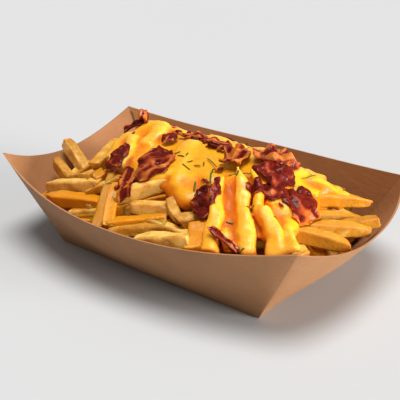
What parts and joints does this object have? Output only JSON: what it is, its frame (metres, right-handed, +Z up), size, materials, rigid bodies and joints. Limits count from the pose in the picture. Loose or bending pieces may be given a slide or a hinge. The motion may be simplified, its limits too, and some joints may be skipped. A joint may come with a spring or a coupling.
{
  "type": "bacon fries",
  "caption": "Loaded fries heaped in a folded paper boat tray, under melted cheese sauce with crisp bacon pieces and cut chives.",
  "frame": {"origin": "centre of the tray's flat bottom, on the surface that the tray stands on", "axes": "+X along the tray's length, +Y across it to the side away from the picture's camera, +Z up"},
  "size_m": [0.1856, 0.1272, 0.0652],
  "materials": {
    "kraft_board": "uncoated brown kraft board, matte",
    "fried_potato": "fried potato, golden, slightly oily",
    "cheese_sauce": "melted cheese sauce, satin to glossy",
    "bacon": "crisp fried bacon, glossy fat and darker lean streaks"
  },
  "bodies": {
    "root": {"tray": "kraft_board", "fries": "fried_potato", "cheese_sauce": "cheese_sauce", "bacon_01": "bacon", "bacon_02": "bacon", "bacon_03": "bacon", "bacon_04": "bacon", "bacon_05": "bacon", "bacon_06": "bacon", "bacon_07": "bacon", "bacon_08": "bacon", "bacon_09": "bacon", "bacon_10": "bacon", "bacon_11": "bacon", "bacon_12": "bacon", "bacon_13": "bacon", "bacon_14": "bacon", "bacon_15": "bacon", "bacon_16": "bacon", "bacon_17": "bacon", "bacon_18": "bacon"}
  },
  "joints": []
}
